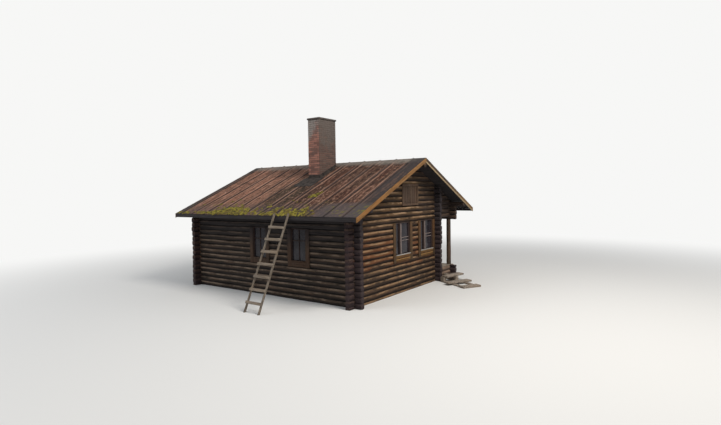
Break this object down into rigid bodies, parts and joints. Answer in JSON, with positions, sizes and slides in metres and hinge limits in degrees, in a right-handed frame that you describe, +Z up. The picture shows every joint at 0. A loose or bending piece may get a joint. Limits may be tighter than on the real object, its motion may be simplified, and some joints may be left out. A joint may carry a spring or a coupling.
{
  "type": "log cabin",
  "caption": "Log cabin of hewn logs crossed at the corners, with a felt roof, a brick chimney, a side porch under the roof and a ladder up to the eave.",
  "frame": {"origin": "middle of the near gable's sill log, on its flat underside, at ground level under the ridge line", "axes": "+X along the ridge, out of the near gable; +Y across the house towards the porch; +Z up"},
  "size_m": [9.8445, 9.5908, 6.26],
  "materials": {
    "weathered_logs": "weathered, satin",
    "sunlit_logs": "oiled, satin",
    "floor_boards": "sawn, matt",
    "roof_timber": "sawn, matt",
    "roof_felt": "mineral granules, matt",
    "roof_battens": "felted, matt",
    "bargeboards": "stained, satin",
    "brick": "burnt clay, matt",
    "flashing": "tarred, satin",
    "glass": "clear",
    "hatch_boards": "stained, satin",
    "casings": "stained, satin",
    "window_frames": "painted, satin",
    "aprons": "stained, satin",
    "door_boards": "stained, satin",
    "grey_planks": "weathered, matt"
  },
  "bodies": {
    "root": {"back_roof_boards": "roof_timber", "back_roof_felt": "roof_felt", "back_wall": "weathered_logs", "back_window_casings": "casings", "back_window_frames": "window_frames", "back_window_sills": "aprons", "bargeboards": "bargeboards", "chimney": "brick", "chimney_crown": "brick", "chimney_flashing": "flashing", "door": "door_boards", "door_casings": "casings", "door_frame": "window_frames", "eave_boards": "roof_timber", "far_gable": "sunlit_logs", "far_gable_window_casings": "casings", "far_gable_window_frames": "window_frames", "far_gable_window_sills": "aprons", "felt_battens": "roof_battens", "floor": "floor_boards", "floor_joists": "floor_boards", "front_roof_boards": "roof_timber", "front_roof_felt": "roof_felt", "front_wall": "weathered_logs", "front_window_casings": "casings", "front_window_frames": "window_frames", "front_window_sills": "aprons", "hatch_casings": "casings", "ladder_rails": "grey_planks", "ladder_rungs": "grey_planks", "loft_hatches": "hatch_boards", "near_gable": "sunlit_logs", "near_gable_window_casings": "casings", "near_gable_window_frames": "window_frames", "near_gable_window_sills": "aprons", "porch_floor": "floor_boards", "porch_joists": "floor_boards", "porch_plate": "sunlit_logs", "porch_posts": "weathered_logs", "porch_sill": "weathered_logs", "rafters": "roof_timber", "ridge_purlin": "sunlit_logs", "step_bearers": "grey_planks", "step_treads": "grey_planks", "window_panes": "glass"}
  },
  "joints": []
}
